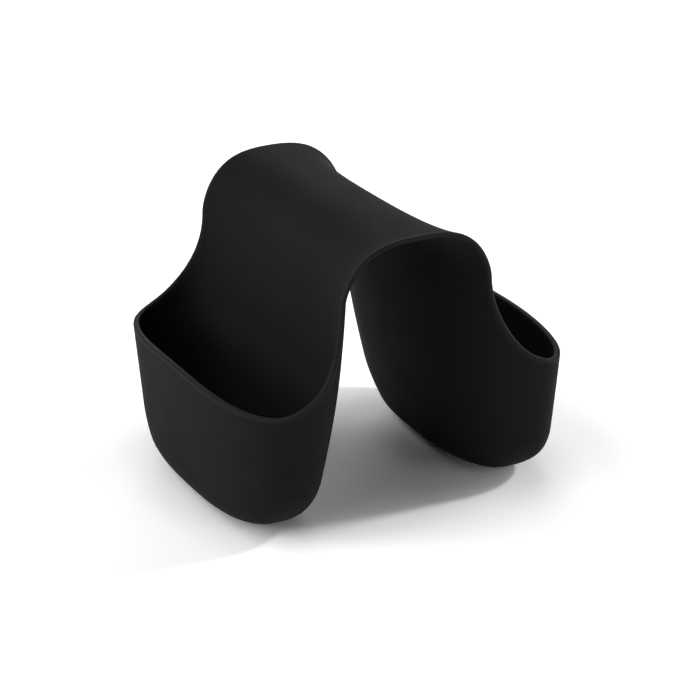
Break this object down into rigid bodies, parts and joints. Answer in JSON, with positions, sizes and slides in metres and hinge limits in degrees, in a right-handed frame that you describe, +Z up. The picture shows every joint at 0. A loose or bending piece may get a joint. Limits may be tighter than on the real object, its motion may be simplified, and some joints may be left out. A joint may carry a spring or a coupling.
{
  "type": "saddle sink caddy",
  "caption": "Soft moulded caddy: an arched saddle that straddles a sink divider, with a deep open pocket hanging on each side.",
  "frame": {"origin": "on the ground, midway between the two pockets' feet", "axes": "+X across the divider from the left pocket to the right pocket, +Y along the divider, +Z up"},
  "size_m": [0.159, 0.1458, 0.1247],
  "materials": {
    "soft_black_moulding": "matt black thermoplastic rubber, moulded with a fine soft-touch grain"
  },
  "bodies": {
    "saddle": {"saddle_bridge": "soft_black_moulding"},
    "right_pocket": {"right_pocket": "soft_black_moulding"},
    "left_pocket": {"left_pocket": "soft_black_moulding"}
  },
  "joints": [
    {"name": "right_shoulder_flex", "type": "hinge", "parent": "saddle", "child": "right_pocket", "pos_m": [0.027, 0, 0.0999], "axis": [0, -1, 0], "range_deg": [-9, 25], "stiffness_Nm_per_rad": 0.4},
    {"name": "left_shoulder_flex", "type": "hinge", "parent": "saddle", "child": "left_pocket", "pos_m": [-0.027, 0, 0.0999], "axis": [0, 1, 0], "range_deg": [-9, 25], "stiffness_Nm_per_rad": 0.4}
  ]
}
